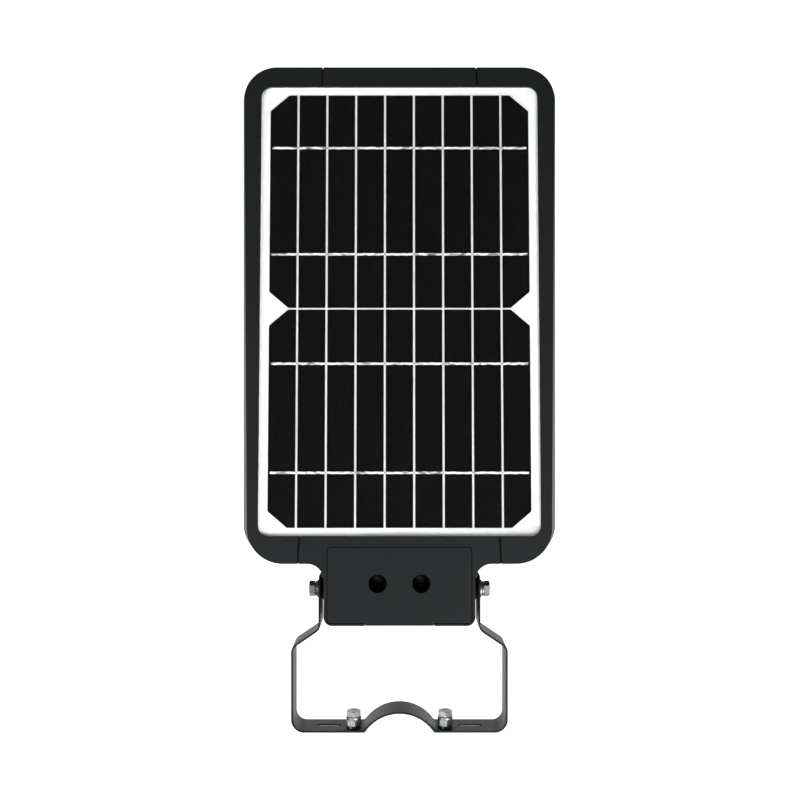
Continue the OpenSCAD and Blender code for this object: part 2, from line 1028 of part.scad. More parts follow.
module battery_straps() {
  color([0.05, 0.05, 0.05])
    for (t = [-1, 1])
      translate([0, batt_y + t * batt_l / 2, batt_z])
        difference() {
          translate([0, 0, -0.6])
            cube([tray_w + 1.6, 12, cell_d + 2.8], center = true);
          translate([0, 0, -0.6])
            cube([tray_w + 0.1, 20, cell_d + 1.4], center = true);
        }
}

module battery_links() {
  color([0.75, 0.75, 0.72])
    union() {
      for (t = [-1, 1])
        translate([0, batt_y + t * (batt_l + 1.2 + 0.16), batt_z + 5])
          cube([cell_d + 8, 0.3, 8], center = true);
      for (s = [-1, 1])
        translate([s * (cell_d / 2 + 0.3), batt_y, batt_z])
          cube([8, 2.4, 8], center = true);
    }
}

module battery_leads() {
  color([0.7, 0.1, 0.1])
    for (s = [-1, 1])
      wire([[s * 14, batt_y - batt_l - 2.4, batt_z + 6], [s * 22, near_y + 44, -3],
        [s * 22, near_y + 37.5, board_z + board_t + 5.7]], wire_d / 2);
}

// ---- controls ------------------------------------------------------------

ctl_w = 90;
ctl_l = 36;
ctl_y = near_y + 26;

module controller_board() {
  color([0.05, 0.3, 0.15])
    difference() {
      translate([0, ctl_y, 0])
        slab(ctl_w, ctl_l, 2, board_z, board_z + board_t);
      for (s = [-1, 1], t = [-1, 1])
        translate([s * (ctl_w / 2 - 4), ctl_y + t * (ctl_l / 2 - 4), board_z - 1])
          cylinder(h = 5, r = 1.6);
    }
}

module controller_coil() {
  color([0.2, 0.2, 0.2])
    translate([-30, ctl_y, board_z + board_t])
      slab(12, 12, 2, 0, 8);
}

module controller_caps() {
  color([0.3, 0.3, 0.35])
    for (x = [-14, 34])
      translate([x, ctl_y - 6, board_z + board_t])
        cylinder(h = 11, r = 4);
}

module controller_plugs() {
  color([0.9, 0.88, 0.8])
    for (x = [-22, -8, 8, 22])
      translate([x, near_y + 36, board_z + board_t + 2.5])
        cube([6, 7, 5], center = true);
}

module led_leads() {
  color([0.8, 0.8, 0.8])
    for (m = [0, 1])
      mirror([m, 0, 0])
        wire([[lens_x, lens_y - lens_l / 2 + 14, wing_z + lens_t + 0.6],
          [lens_x, lens_y - lens_l / 2 + 14, wing_z + floor_t + 3],
          [seam(near_y + lead_d) + 6, near_y + lead_d, lead_z],
          [seam(near_y + lead_d) - 8, near_y + lead_d, lead_z],
          [31, near_y + lead_d, board_z + board_t + 4]], 1);
}

// ---- underside -----------------------------------------------------------

module cover_plan(g) {
  a = near_y + 4;
  b = far_y - 4;
  polygon([[-seam(a) + 2 + g, a + g], [seam(a) - 2 - g, a + g],
    [seam(b) - 2 - g, b - g], [-seam(b) + 2 + g, b - g]]);
}

module battery_cover() {
  bl = 2 * batt_l + 30;
  color(paint)
    difference() {
      union() {
        translate([0, 0, cover_z - cover_t])
          linear_extrude(height = cover_t)
            cover_plan(0);
        translate([0, batt_y, 0])
          slab(tray_w + 12, bl, 10, cover_z - bulge, cover_z - 1);
        for (i = [-3 : 3])
          translate([i * 9, batt_y, cover_z - bulge - 1])
            cube([2, bl - 26, 6], center = true);
      }
      translate([0, batt_y, 0])
        slab(tray_w + 7, bl - 5, 8, cover_z - bulge + 2.5, cover_z + 5);
      translate([0, pir_y, cover_z - cover_t - 1])
        cylinder(h = 6, r = pir_r);
      translate([0, button_y, cover_z - cover_t - 1])
        cylinder(h = 6, r = button_d / 2 + 2);
      for (i = [-1 : 1])
        translate([i * 8 + 26, button_y, cover_z - cover_t - 1])
          cylinder(h = 6, r = 1.6);
      translate([-32, vent_y, cover_z - cover_t - 1])
        cylinder(h = 6, r = 3);
      cover_holes(2.1);
    }
}

module cover_holes(r) {
  for (s = [-1, 1], d = boss_rows)
    translate([s * (seam(near_y + d) - wall - 3.2), near_y + d, cover_z - cover_t - 1])
      cylinder(h = cover_t + 2, r = r);
}

module cover_seal() {
  color([0.1, 0.1, 0.1])
    translate([0, 0, cover_z])
      linear_extrude(height = 1)
        difference() {
          cover_plan(0.2);
          cover_plan(1.8);
        }
}

module cover_screws() {
  color(zinc)
    for (s = [-1, 1], d = boss_rows)
      translate([s * (seam(near_y + d) - wall - 3.2), near_y + d, cover_z - cover_t])
        union() {
          translate([0, 0, -2.2])
            cylinder(h = 2.2, r = 3.5);
          translate([0, 0, -0.5])
            cylinder(h = 8, r = 1.6);
        }
}

module pir_lens() {
  color([0.95, 0.95, 0.93])
    translate([0, pir_y, cover_z - cover_t])
      difference() {
        union() {
          intersection() {
            sphere(r = pir_r - 0.2);
            translate([0, 0, -pir_r])
              cylinder(h = pir_r + cover_t, r = pir_r);
          }
          cylinder(h = cover_t, r = pir_r - 0.1);
          translate([0, 0, cover_t])
            cylinder(h = 1, r = pir_r + 2.5);
        }
        intersection() {
          sphere(r = pir_r - 1.4);
          translate([0, 0, -pir_r])
            cylinder(h = pir_r, r = pir_r);
        }
        translate([0, 0, -0.1])
          cylinder(h = 6, r = pir_r - 1.5);
      }
}

module pir_sensor() {
  color([0.7, 0.7, 0.72])
    translate([0, pir_y, cover_z + 1])
      union() {
        slab(30, 24, 2, 0, 1.6);
        translate([0, 0, -2.5])
          cylinder(h = 3, r = 4.5);
      }
}

module button_ring() {
  color([0.1, 0.1, 0.1])
    translate([0, button_y, cover_z - cover_t])
      difference() {
        union() {
          translate([0, 0, -1])
            cylinder(h = 1, r = button_d / 2 + 3.2);
          cylinder(h = cover_t + 1, r = button_d / 2 + 1.9);
        }
        translate([0, 0, -2])
          cylinder(h = cover_t + 6, r = button_d / 2 + 0.3);
      }
}

module power_button() {
  color([0.75, 0.1, 0.08])
    translate([0, button_y, cover_z - cover_t])
      union() {
        translate([0, 0, -2.6])
          cylinder(h = cover_t + 4, r = button_d / 2);
        translate([0, 0, cover_t + 1.2])
          cylinder(h = 1, r = button_d / 2 + 1.4);
        translate([0, 0, cover_t])
          cylinder(h = board_z - 3.7 - cover_z - button_travel, r = 2);
      }
}

module button_switch() {
  color([0.2, 0.2, 0.2])
    translate([0, button_y, board_z])
      translate([0, 0, -1.75])
        cube([7, 7, 3.5], center = true);
}

module light_pipe() {
  color([0.9, 0.95, 0.9])
    translate([26, button_y, cover_z])
      union() {
        for (i = [-1 : 1])
          translate([i * 8, 0, -cover_t - 0.6])
            cylinder(h = cover_t + 1, r = 1.5);
        translate([-11, -2.5, 0])
          cube([22, 5, 2]);
      }
}

module breather_vent() {
  color([0.1, 0.1, 0.1])
    translate([-32, vent_y, cover_z - cover_t])
      union() {
        translate([0, 0, -2.2])
          hex(9, 2.2);
        translate([0, 0, -0.2])
          cylinder(h = cover_t + 2.2, r = 2.95);
      }
}

bracket();
clamp_bolts();
clamp_collars();
clamp_nuts();
star_washers();
spine_housing();
left_rail();
right_rail();
neck_cover();
neck_gasket();
neck_screws();
pivot_bolts();
pivot_springs();
pivot_washers();
pivot_bushes();
pivot_inserts();
solar_glass();
cell_ribbons();
solar_cells();
encapsulant();
backsheet();
panel_seal();
junction_box();
panel_leads();
led_boards();
led_chips();
left_lens();
right_lens();
lens_screws();
led_leads();
battery_cells();
battery_tray();
battery_straps();
battery_links();
battery_leads();
controller_board();
controller_coil();
controller_caps();
controller_plugs();
battery_cover();
cover_seal();
cover_screws();
rail_screws();
pir_lens();
pir_sensor();
button_ring();
button_switch();
power_button();
light_pipe();
breather_vent();
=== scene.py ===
import math

import bpy
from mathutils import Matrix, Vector


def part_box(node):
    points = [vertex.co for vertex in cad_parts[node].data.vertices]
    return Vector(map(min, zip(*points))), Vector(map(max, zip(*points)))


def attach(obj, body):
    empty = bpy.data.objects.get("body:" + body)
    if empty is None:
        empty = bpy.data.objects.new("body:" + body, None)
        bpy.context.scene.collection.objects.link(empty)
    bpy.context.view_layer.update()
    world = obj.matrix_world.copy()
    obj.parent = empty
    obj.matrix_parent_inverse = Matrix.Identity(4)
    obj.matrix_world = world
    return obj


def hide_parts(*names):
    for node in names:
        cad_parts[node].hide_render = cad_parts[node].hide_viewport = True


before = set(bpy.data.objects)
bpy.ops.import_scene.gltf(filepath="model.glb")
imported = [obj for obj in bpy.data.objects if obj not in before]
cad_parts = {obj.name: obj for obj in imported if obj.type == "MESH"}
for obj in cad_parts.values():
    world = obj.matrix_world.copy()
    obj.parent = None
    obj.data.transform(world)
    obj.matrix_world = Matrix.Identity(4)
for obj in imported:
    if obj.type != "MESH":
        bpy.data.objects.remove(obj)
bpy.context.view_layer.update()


# Camera: a 50 mm lens that hangs over the lamp and looks straight down on the
# solar panel, with the pole end of the bracket at the lower edge.
bpy.ops.object.camera_add(location=(0.0004, 0.2576, 0.820), rotation=(0, 0, 0))
camera = bpy.context.object
camera.data.lens = 50
camera.data.sensor_width = 36
bpy.context.scene.camera = camera
bpy.context.scene.view_settings.view_transform = "Standard"


# Studio: a white table well below the lamp, bright all over except for a painted
# soft shadow of the lamp under it, and two soft boxes, so that the glass mirrors only dark air.
class Wire:
    """One output in a finish. Sums on it add Math nodes to that finish."""

    def __init__(self, finish, socket):
        self.finish = finish
        self.socket = socket

    def worked(self, operation, first, second=0.0):
        return self.finish.node("ShaderNodeMath", {"operation": operation}, [first, second])

    def __add__(self, other):
        return self.worked("ADD", self, other)

    def __radd__(self, other):
        return self.worked("ADD", other, self)

    def __sub__(self, other):
        return self.worked("SUBTRACT", self, other)

    def __rsub__(self, other):
        return self.worked("SUBTRACT", other, self)

    def __mul__(self, other):
        return self.worked("MULTIPLY", self, other)

    def __rmul__(self, other):
        return self.worked("MULTIPLY", other, self)

    def __mod__(self, other):
        return self.worked("FLOORED_MODULO", self, other)

    def __rmod__(self, other):
        return self.worked("FLOORED_MODULO", other, self)

    def __lt__(self, other):
        return self.worked("LESS_THAN", self, other)

    def __gt__(self, other):
        return self.worked("GREATER_THAN", self, other)

    def __abs__(self):
        return self.worked("ABSOLUTE", self)


class Finish:
    """A material as it is mixed: node() adds one node, set() fills the shader."""

    def __init__(self, name):
        self.material = bpy.data.materials.new(name)
        self.material.use_nodes = True
        self.tree = self.material.node_tree
        self.shader = self.tree.nodes["Principled BSDF"]

    def join(self, socket, value):
        if isinstance(value, Wire):
            self.tree.links.new(value.socket, socket)
        else:
            socket.default_value = value

    def node(self, kind, settings=None, inputs=None, output=0):
        made = self.tree.nodes.new(kind)
        for key, value in (settings or {}).items():
            if key == "stops":
                for stop, (place, colour) in zip(made.color_ramp.elements, value):
                    stop.position, stop.color = place, colour
            else:
                setattr(made, key, value)
        named = inputs.items() if isinstance(inputs, dict) else enumerate(inputs or [])
        for key, value in named:
            self.join(made.inputs[key], value)
        return Wire(self, made.outputs[output])

    def set(self, sockets):
        for name, value in sockets.items():
            self.join(self.shader.inputs[name], value)

    def place(self):
        return self.node("ShaderNodeTexCoord", output="Object")

    def axes(self):
        cut = self.node("ShaderNodeSeparateXYZ", inputs=[self.place()])
        return [Wire(self, end) for end in cut.socket.node.outputs]

    def noise(self, size, detail=2.0, stretch=(1, 1, 1)):
        """Cloudy noise between 0 and 1 whose blotches are about size metres."""
        laid = self.node("ShaderNodeMapping", inputs={
            "Vector": self.place(), "Scale": [share / size for share in stretch]})
        return self.node("ShaderNodeTexNoise", inputs={
            "Vector": laid, "Scale": 1.0, "Detail": detail})

    def mixed(self, factor, low, high):
        """The colour low where factor is 0 and high where it is 1."""
        return self.node("ShaderNodeMix", {"data_type": "RGBA"}, {
            0: factor, 6: low, 7: high}, output=2)

    def relief(self, height, depth, strength=1.0):
        """Raises the surface by depth metres where height is 1."""
        self.set({"Normal": self.node("ShaderNodeBump", inputs={
            "Strength": strength, "Distance": depth, "Height": height})})


bpy.ops.object.select_all(action="DESELECT")
table_low = -0.95
painted_shadow_wide = 0.23
painted_shadow_long = 0.36
painted_shadow_edge = 0.125
bpy.ops.mesh.primitive_plane_add(size=30, location=(0, 0.40, table_low))
table = bpy.context.object
table.name = "table"
white_table = Finish("white_table")
clouds = white_table.noise(0.6)
across, along, _ = white_table.axes()
# Painted shadow: the table's glow is darkened to near black in a soft-edged patch under the lamp,
# standing in for the lamp's shadow on it.
inside = white_table.node("ShaderNodeClamp", inputs=[(painted_shadow_wide - abs(across)) * (1 / painted_shadow_edge)])
below = white_table.node("ShaderNodeClamp", inputs=[(painted_shadow_long - abs(along)) * (1 / painted_shadow_edge)])
white_table.set({
    "Base Color": white_table.mixed(clouds, (0.78, 0.78, 0.78, 1), (0.82, 0.82, 0.82, 1)),
    "Roughness": 0.9,
    "Emission Color": white_table.mixed(inside * below, (1, 1, 1, 1), (0.05, 0.05, 0.05, 1)),
    "Emission Strength": 0.98,
})
table.data.materials.append(white_table.material)

boxes = (("key_box", (0.75, -0.90, 1.35), 36), ("fill_box", (-1.35, -0.05, 1.30), 18))
for name, spot, power in boxes:
    bpy.ops.object.light_add(type="AREA", location=spot)
    box = bpy.context.object
    box.name = name
    box.data.shape = "RECTANGLE"
    box.data.size = 0.9
    box.data.size_y = 1.3
    box.data.energy = power
    aim = Vector((0, 0.28, 0)) - Vector(spot)
    box.rotation_euler = aim.to_track_quat("-Z", "Y").to_euler()

world = bpy.data.worlds.new("studio")
bpy.context.scene.world = world
world.use_nodes = True
sky = world.node_tree
seen = sky.nodes.new("ShaderNodeLightPath")
tone = sky.nodes.new("ShaderNodeMix")
tone.data_type = "RGBA"
tone.inputs[6].default_value = (0.045, 0.046, 0.048, 1)
tone.inputs[7].default_value = (1, 1, 1, 1)
sky.links.new(seen.outputs["Is Camera Ray"], tone.inputs[0])
sky.links.new(tone.outputs[2], sky.nodes["Background"].inputs["Color"])


# Bracket: a strip of 1.5 mm steel bent to a stirrup with the pole saddle pressed
# into its foot, powder coated black. Its ears hold the neck of the lamp head.
mm = 0.001


def alone(piece=None):
    """Leaves edit mode and selects this piece and nothing else."""
    if bpy.context.object and bpy.context.object.mode == "EDIT":
        bpy.ops.object.mode_set(mode="OBJECT")
    bpy.ops.object.select_all(action="DESELECT")
    if piece:
        piece.select_set(True)
        bpy.context.view_layer.objects.active = piece


def seated(piece):
    """Moves a piece's place and turn into its mesh, so its object is at the origin."""
    alone(piece)
    bpy.ops.object.transform_apply(location=True, rotation=True, scale=True)
    return piece


def applied(piece, kind, **settings):
    """Adds one modifier to a piece and applies it."""
    alone(piece)
    bpy.ops.object.modifier_add(type=kind)
    change = piece.modifiers[-1]
    for key, value in settings.items():
        setattr(change, key, value)
    bpy.ops.object.modifier_apply(modifier=change.name)
    return piece


def eased(piece, width, sharp=30, steps=2, clamp=False):
    """Rounds a piece's edges that are sharper than an angle, and shades it smooth."""
    applied(piece, "BEVEL", width=width, segments=steps, limit_method="ANGLE",
            angle_limit=math.radians(sharp), use_clamp_overlap=clamp)
    bpy.ops.object.shade_smooth_by_angle(angle=math.radians(35))
    return applied(piece, "WEIGHTED_NORMAL", keep_sharp=True)


def taken(node, name):
    """A merged copy of a CAD node under a new name, with its flat faces made whole."""
    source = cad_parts[node]
    piece = bpy.data.objects.new(name, source.data.copy())
    piece.data.name = name
    piece.data.materials.clear()
    bpy.context.collection.objects.link(piece)
    alone(piece)
    bpy.ops.object.mode_set(mode="EDIT")
    bpy.ops.mesh.select_all(action="SELECT")
    bpy.ops.mesh.remove_doubles(threshold=0.002 * mm)
    bpy.ops.mesh.dissolve_limited(angle_limit=math.radians(0.2))
    bpy.ops.object.mode_set(mode="OBJECT")
    return piece


def fitted(piece, body, slot, finish, *nodes):
    """Gives a finished piece its material and its body, and hides the CAD nodes it stands for."""
    piece.data.materials.clear()
    piece.data.materials.append(finish.material)
    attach(piece, body)
    if nodes:
        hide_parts(*nodes)
    return piece


black_coat = Finish("black_powder_coat")
orange_peel = black_coat.noise(0.7 * mm, detail=3.0)
blotches = black_coat.noise(45 * mm, detail=3.0)
black_coat.set({
    "Base Color": black_coat.mixed(
        blotches, (0.0104, 0.0124, 0.0134, 1), (0.0136, 0.0160, 0.0172, 1)),
    "Roughness": 0.46 + 0.12 * orange_peel,
    "Specular IOR Level": 0.24,
})
black_coat.relief(orange_peel, 0.02 * mm, 0.5)

bracket = eased(taken("bracket", "bracket_strip"), 0.25 * mm)
fitted(bracket, "bracket", "black_paint", black_coat, "bracket")


# Clamp bolts: two M6 zinc-plated sets that press the saddle to the pole. Each is a
# hexagon bolt over a collar, a nut and a toothed washer, standing on the foot.
def outline(name, points, closed=True):
    """A chain of edges through points given as distance from Z and height."""
    bpy.ops.mesh.primitive_circle_add(vertices=len(points), fill_type="NOTHING")
    chain = bpy.context.object
    chain.name = chain.data.name = name
    for corner, (reach, height) in zip(chain.data.vertices, points):
        corner.co = (reach, 0, height)
    if not closed:
        last = len(points) - 1
        alone(chain)
        bpy.ops.object.mode_set(mode="EDIT")
        bpy.ops.mesh.select_mode(type="EDGE")
        bpy.ops.mesh.select_all(action="DESELECT")
        bpy.ops.object.mode_set(mode="OBJECT")
        for edge in chain.data.edges:
            edge.select = set(edge.vertices) == {0, last}
        bpy.ops.object.mode_set(mode="EDIT")
        bpy.ops.mesh.delete(type="EDGE")
        bpy.ops.object.mode_set(mode="OBJECT")
    return chain


def closed_up(piece):
    """Merges a piece's doubled points and turns its faces outwards."""
    alone(piece)
    bpy.ops.object.mode_set(mode="EDIT")
    bpy.ops.mesh.select_all(action="SELECT")
    bpy.ops.mesh.remove_doubles(threshold=0.001 * mm)
    bpy.ops.mesh.normals_make_consistent(inside=False)
    bpy.ops.object.mode_set(mode="OBJECT")
    return piece


def turned(name, points, steps=48, angle=360):
    """A lathe job: the outline spun round Z. Points that start and end on the axis
    make a solid, and others make a ring."""
    solid = points[0][0] == 0 and points[-1][0] == 0
    piece = outline(name, [(r * mm, z * mm) for r, z in points], closed=not solid)
    alone(piece)
    bpy.ops.object.mode_set(mode="EDIT")
    bpy.ops.mesh.select_all(action="SELECT")
    bpy.ops.mesh.spin(steps=steps, angle=math.radians(angle), center=(0, 0, 0), axis=(0, 0, 1))
    bpy.ops.object.mode_set(mode="OBJECT")
    return closed_up(piece)


def carved(piece, tool, operation="DIFFERENCE"):
    """Cuts a piece with a tool, or keeps what is inside it, and throws the tool away."""
    applied(piece, "BOOLEAN", operation=operation, object=tool, solver="EXACT")
    bpy.data.objects.remove(tool)
    return piece


def joined(name, *pieces):
    """One piece made of several."""
    alone(pieces[0])
    for piece in pieces:
        piece.select_set(True)
    bpy.ops.object.join()
    whole = bpy.context.object
    whole.name = whole.data.name = name
    return whole


def hexagon(name, across, height, both_ends=False):
    """Hexagon bar trimmed by a turned blank, which leaves the arcs on its corners."""
    reach = across / math.sqrt(3)
    rise = (reach - 0.475 * across) * math.tan(math.radians(30))
    low = [(0.475 * across, 0), (reach + 0.1, rise)] if both_ends else [(reach + 0.1, 0)]
    blank = turned("blank", [(0, 0), *low, (reach + 0.1, height - rise),
                             (0.475 * across, height), (0, height)])
    bpy.ops.mesh.primitive_cylinder_add(
        vertices=6, radius=reach * mm, depth=(height + 4) * mm, location=(0, 0, height / 2 * mm))
    bar = seated(bpy.context.object)
    bar.name = bar.data.name = name
    return carved(bar, blank, "INTERSECT")


def threaded(name, radius, length, pitch):
    """A screw thread down from the origin: a tooth outline run round as a helix and
    cut off square at both ends."""
    teeth = math.ceil(length / pitch) + 2
    points = []
    for tooth in range(teeth):
        points.append((radius * mm, -tooth * pitch * mm))
        points.append(((radius - 0.6 * pitch) * mm, -(tooth + 0.5) * pitch * mm))
    rod = outline(name, points, closed=False)
    applied(rod, "SCREW", angle=math.radians(360), screw_offset=pitch * mm, axis="Z",
            steps=24, render_steps=24, iterations=1, use_merge_vertices=False)
    closed_up(rod)
    for height, side in ((0, 1), (-length * mm, -1)):
        alone(rod)
        bpy.ops.object.mode_set(mode="EDIT")
        bpy.ops.mesh.select_all(action="SELECT")
        bpy.ops.mesh.bisect(plane_co=(0, 0, height), plane_no=(0, 0, side),
                            use_fill=True, clear_outer=True)
        bpy.ops.object.mode_set(mode="OBJECT")
    return closed_up(rod)


def boxes_in(node):
    """The low and high corners of each separate solid in a CAD node, left to right."""
    taken(node, "pile")
    bpy.ops.object.mode_set(mode="EDIT")
    bpy.ops.mesh.separate(type="LOOSE")
    bpy.ops.object.mode_set(mode="OBJECT")
    found = []
    for lump in list(bpy.context.selected_objects):
        corners = [corner.co for corner in lump.data.vertices]
        found.append((Vector(min(c[i] for c in corners) for i in range(3)),
                      Vector(max(c[i] for c in corners) for i in range(3))))
        bpy.data.objects.remove(lump)
    return sorted(found, key=lambda box: (round(box[0].x, 3), round(box[0].y, 3)))


def copied(model, name, spot, turn=(0, 0, 0)):
    """A copy of a finished model with its own mesh, turned and set in its spot."""
    piece = bpy.data.objects.new(name, model.data.copy())
    piece.data.name = name
    bpy.context.collection.objects.link(piece)
    piece.rotation_euler = turn
    piece.location = spot
    return seated(piece)


zinc = Finish("bright_zinc")
spangle = zinc.noise(1.6 * mm, detail=4.0)
drift = zinc.noise(9 * mm)
zinc.set({
    "Base Color": zinc.mixed(drift, (0.27, 0.29, 0.31, 1), (0.40, 0.42, 0.43, 1)),
    "Metallic": 1.0,
    "Roughness": 0.34 + 0.20 * spangle,
})
zinc.relief(spangle, 0.03 * mm, 0.6)

bolt_r = 3.0
bolt_across = 10.0
head_high = 4.2
nut_high = 5.0
collar_high = 2.0
star_high = 1.4
star_r = 5.9
to_back = math.radians(-90)

bolt_head = hexagon("bolt_head", bolt_across, head_high)
eased(bolt_head, 0.1 * mm, sharp=45)
dimple = turned("dimple", [(0, head_high - 0.3), (2.6, head_high - 0.3), (3.1, head_high + 0.3),
                           (0, head_high + 0.3)])
carved(bolt_head, dimple)

bore_r = bolt_r + 0.1
collar_r = bolt_across / 2 + 0.6
collar = turned("collar", [(bore_r, -collar_high), (collar_r, -collar_high), (collar_r, -0.4),
                           (collar_r - 0.5, 0), (bore_r, 0)])
eased(collar, 0.2 * mm)
nut = hexagon("nut", bolt_across, nut_high, both_ends=True)
drill_r = bolt_r + 0.05
carved(nut, turned("bore", [(0, -1), (drill_r, -1), (drill_r, nut_high + 1), (0, nut_high + 1)]))
eased(nut, 0.12 * mm, sharp=45)
nut.rotation_euler = (0, 0, math.radians(12))
seated(nut)

hub_r = star_r - 1.3
star = turned("star", [(bore_r, 0.35), (hub_r, 0.35), (hub_r, 1.05), (bore_r, 1.05)])
for tooth in range(10):
    bpy.ops.mesh.primitive_cube_add(size=1)
    prong = bpy.context.object
    prong.scale = (2.3 * mm, 1.5 * mm, 0.55 * mm)
    prong.rotation_euler = (math.radians(32), 0, 0)
    prong.location = ((star_r - 1.15) * mm, 0, 0.7 * mm)
    seated(prong)
    prong.rotation_euler = (0, 0, math.radians(36 * tooth))
    seated(prong)
    star = joined("star", star, prong)
eased(star, 0.08 * mm, sharp=40)

shank_long = collar_high + nut_high + star_high + 1.5
for (low, high), side in zip(boxes_in("clamp_bolts"), ("left", "right")):
    middle = (low.x + high.x) / 2
    off = (low.z + high.z) / 2
    foot = high.y - head_high * mm
    shank = threaded("shank", bolt_r, shank_long, 1.0)
    bolt = joined("bolt", copied(bolt_head, "head", (0, 0, 0)), shank)
    fitted(copied(bolt, "clamp_bolt_" + side, (middle, foot, off), (to_back, 0, 0)),
           "bracket", "zinc", zinc, "clamp_bolts")
    bpy.data.objects.remove(bolt)
    fitted(copied(collar, "clamp_collar_" + side, (middle, foot, off), (to_back, 0, 0)),
           "bracket", "zinc", zinc, "clamp_collars")
    foot -= (collar_high + nut_high) * mm
    fitted(copied(nut, "clamp_nut_" + side, (middle, foot, off), (to_back, 0, 0)),
           "bracket", "zinc", zinc, "clamp_nuts")
    foot -= star_high * mm
    fitted(copied(star, "star_washer_" + side, (middle, foot, off), (to_back, 0, 0)),
           "bracket", "zinc", zinc, "star_washers")
for model in (bolt_head, collar, nut, star):
    bpy.data.objects.remove(model)


# Castings: the pressure die-cast aluminium spine with the neck and the battery
# tray, and a rail down each side. The seams between them close on hidden screws.
for node in ("spine_housing", "left_rail", "right_rail"):
    casting = eased(taken(node, node + "_casting"), 0.3 * mm)
    fitted(casting, "head", "black_paint", black_coat, node)

rubber = Finish("seal_rubber")
rubber_dust = rubber.noise(0.5 * mm, detail=3.0)
rubber.set({
    "Base Color": rubber.mixed(rubber_dust, (0.008, 0.008, 0.008, 1), (0.02, 0.02, 0.02, 1)),
    "Roughness": 0.7 + 0.15 * rubber_dust,
})
rubber.relief(rubber_dust, 0.05 * mm)


def coated(finish, *nodes):
    """Puts a finish on CAD nodes whose shape is right as it stands."""
    for node in nodes:
        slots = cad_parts[node].material_slots
        for i in range(len(slots)):
            slots[i].material = finish.material


coated(rubber, "neck_gasket", "cover_seal")
coated(zinc, "rail_screws")

neck_lid = eased(taken("neck_cover", "neck_lid"), 0.35 * mm)
fitted(neck_lid, "head", "black_paint", black_coat, "neck_cover")


# Tilt pivot: on each side an M6 hexagon bolt clamps the ear of the bracket over a
# split spring washer and a flat washer, into a brass insert cast in the neck.
def split_ring(name, inner, outer, thick, rise):
    """A spring washer: square wire wound almost once round Z and cut off."""
    ring = outline(name, [(inner * mm, 0), (outer * mm, 0),
                          (outer * mm, thick * mm), (inner * mm, thick * mm)])
    applied(ring, "SCREW", angle=math.radians(350), screw_offset=rise * mm, axis="Z",
            steps=40, render_steps=40, iterations=1)
    alone(ring)
    bpy.ops.object.mode_set(mode="EDIT")
    bpy.ops.mesh.select_all(action="SELECT")
    bpy.ops.mesh.fill_holes(sides=4)
    bpy.ops.object.mode_set(mode="OBJECT")
    return eased(closed_up(ring), 0.12 * mm, sharp=50)


washer_high = 1.6
spring_high = 1.8
pivot_head = eased(hexagon("pivot_head", bolt_across, head_high), 0.1 * mm, sharp=45)
pivot_face = turned("washer_face", [(0, -0.05), (4.4, -0.05), (4.6, 0.3), (0, 0.3)])
washer_in = bolt_r + 0.2
washer_out = 6.4
washer = turned("washer", [(washer_in, 0), (washer_out, 0),
                           (washer_out, washer_high), (washer_in, washer_high)])
eased(washer, 0.3 * mm, sharp=50)
spring = split_ring("spring", washer_in, 5.4, 1.25, 0.5)

for low, high in boxes_in("pivot_bolts"):
    left = low.x < 0
    name = "left" if left else "right"
    out = -1 if left else 1
    tip = low.x if left else high.x
    under_head = tip - out * head_high * mm
    inner_end = high.x if left else low.x
    middle_y = (low.y + high.y) / 2
    turn = (0, out * math.radians(90), 0)
    shank = threaded("shank", bolt_r, abs(under_head - inner_end) / mm, 1.0)
    bolt = joined("bolt", copied(pivot_head, "head", (0, 0, 0)),
                  copied(pivot_face, "face", (0, 0, 0)), shank)
    fitted(copied(bolt, "pivot_bolt_" + name, (under_head, middle_y, 0), turn),
           "head", "zinc", zinc, "pivot_bolts")
    bpy.data.objects.remove(bolt)
    reach = under_head - out * spring_high * mm
    fitted(copied(spring, "pivot_spring_" + name, (reach, middle_y, 0), turn),
           "head", "zinc", zinc, "pivot_springs")
    reach -= out * washer_high * mm
    fitted(copied(washer, "pivot_washer_" + name, (reach, middle_y, 0), turn),
           "head", "zinc", zinc, "pivot_washers")
for model in (pivot_head, pivot_face, washer, spring):
    bpy.data.objects.remove(model)


def grained(name, dark, light, size, rough, depth, metal=0.0, stretch=(1, 1, 1)):
    """A plain stock material: two close tones and a fine grain that is also felt."""
    stock = Finish(name)
    grain = stock.noise(size, detail=3.0, stretch=stretch)
    stock.set({
        "Base Color": stock.mixed(grain, (*dark, 1), (*light, 1)),
        "Roughness": rough - 0.06 + 0.12 * grain,
        "Metallic": metal,
    })
    stock.relief(grain, depth, 0.6)
    return stock


nylon = grained("black_nylon", (0.012, 0.012, 0.012), (0.022, 0.022, 0.022),
                0.6 * mm, 0.5, 0.02 * mm)
brass = grained("turned_brass", (0.58, 0.40, 0.16), (0.76, 0.56, 0.27),
                1.2 * mm, 0.3, 0.02 * mm, metal=1.0)
coated(nylon, "pivot_bushes", "battery_straps")
coated(brass, "pivot_inserts")


# Neck lid screws: two black-oxide button heads with a hexagon socket, at the bottom
# of deep wells sunk straight down through the lid.
button_r = 4.6
lid_screw = turned("lid_screw", [
    (0, -10), (1.6, -10), (2, -9.4), (2, 0), (button_r, 0), (button_r, 1.3),
    (4.3, 1.9), (3.6, 2.6), (2.4, 3.25), (1.2, 3.52), (0, 3.6)])
socket = hexagon("socket", 2.6, 6)
socket.location = (0, 0, 1.7 * mm)
carved(lid_screw, seated(socket))
eased(lid_screw, 0.12 * mm, sharp=50)
black_oxide = grained("black_oxide", (0.16, 0.17, 0.18), (0.26, 0.27, 0.28),
                      0.8 * mm, 0.38, 0.02 * mm, metal=0.8)
for (low, high), name in zip(boxes_in("neck_screws"), ("left", "right")):
    seat_z = low.z + 10 * mm
    seat_y = (low.y + high.y) / 2
    fitted(copied(lid_screw, "lid_screw_" + name, ((low.x + high.x) / 2, seat_y, seat_z)),
           "head", "black_steel", black_oxide, "neck_screws")
bpy.data.objects.remove(lid_screw)


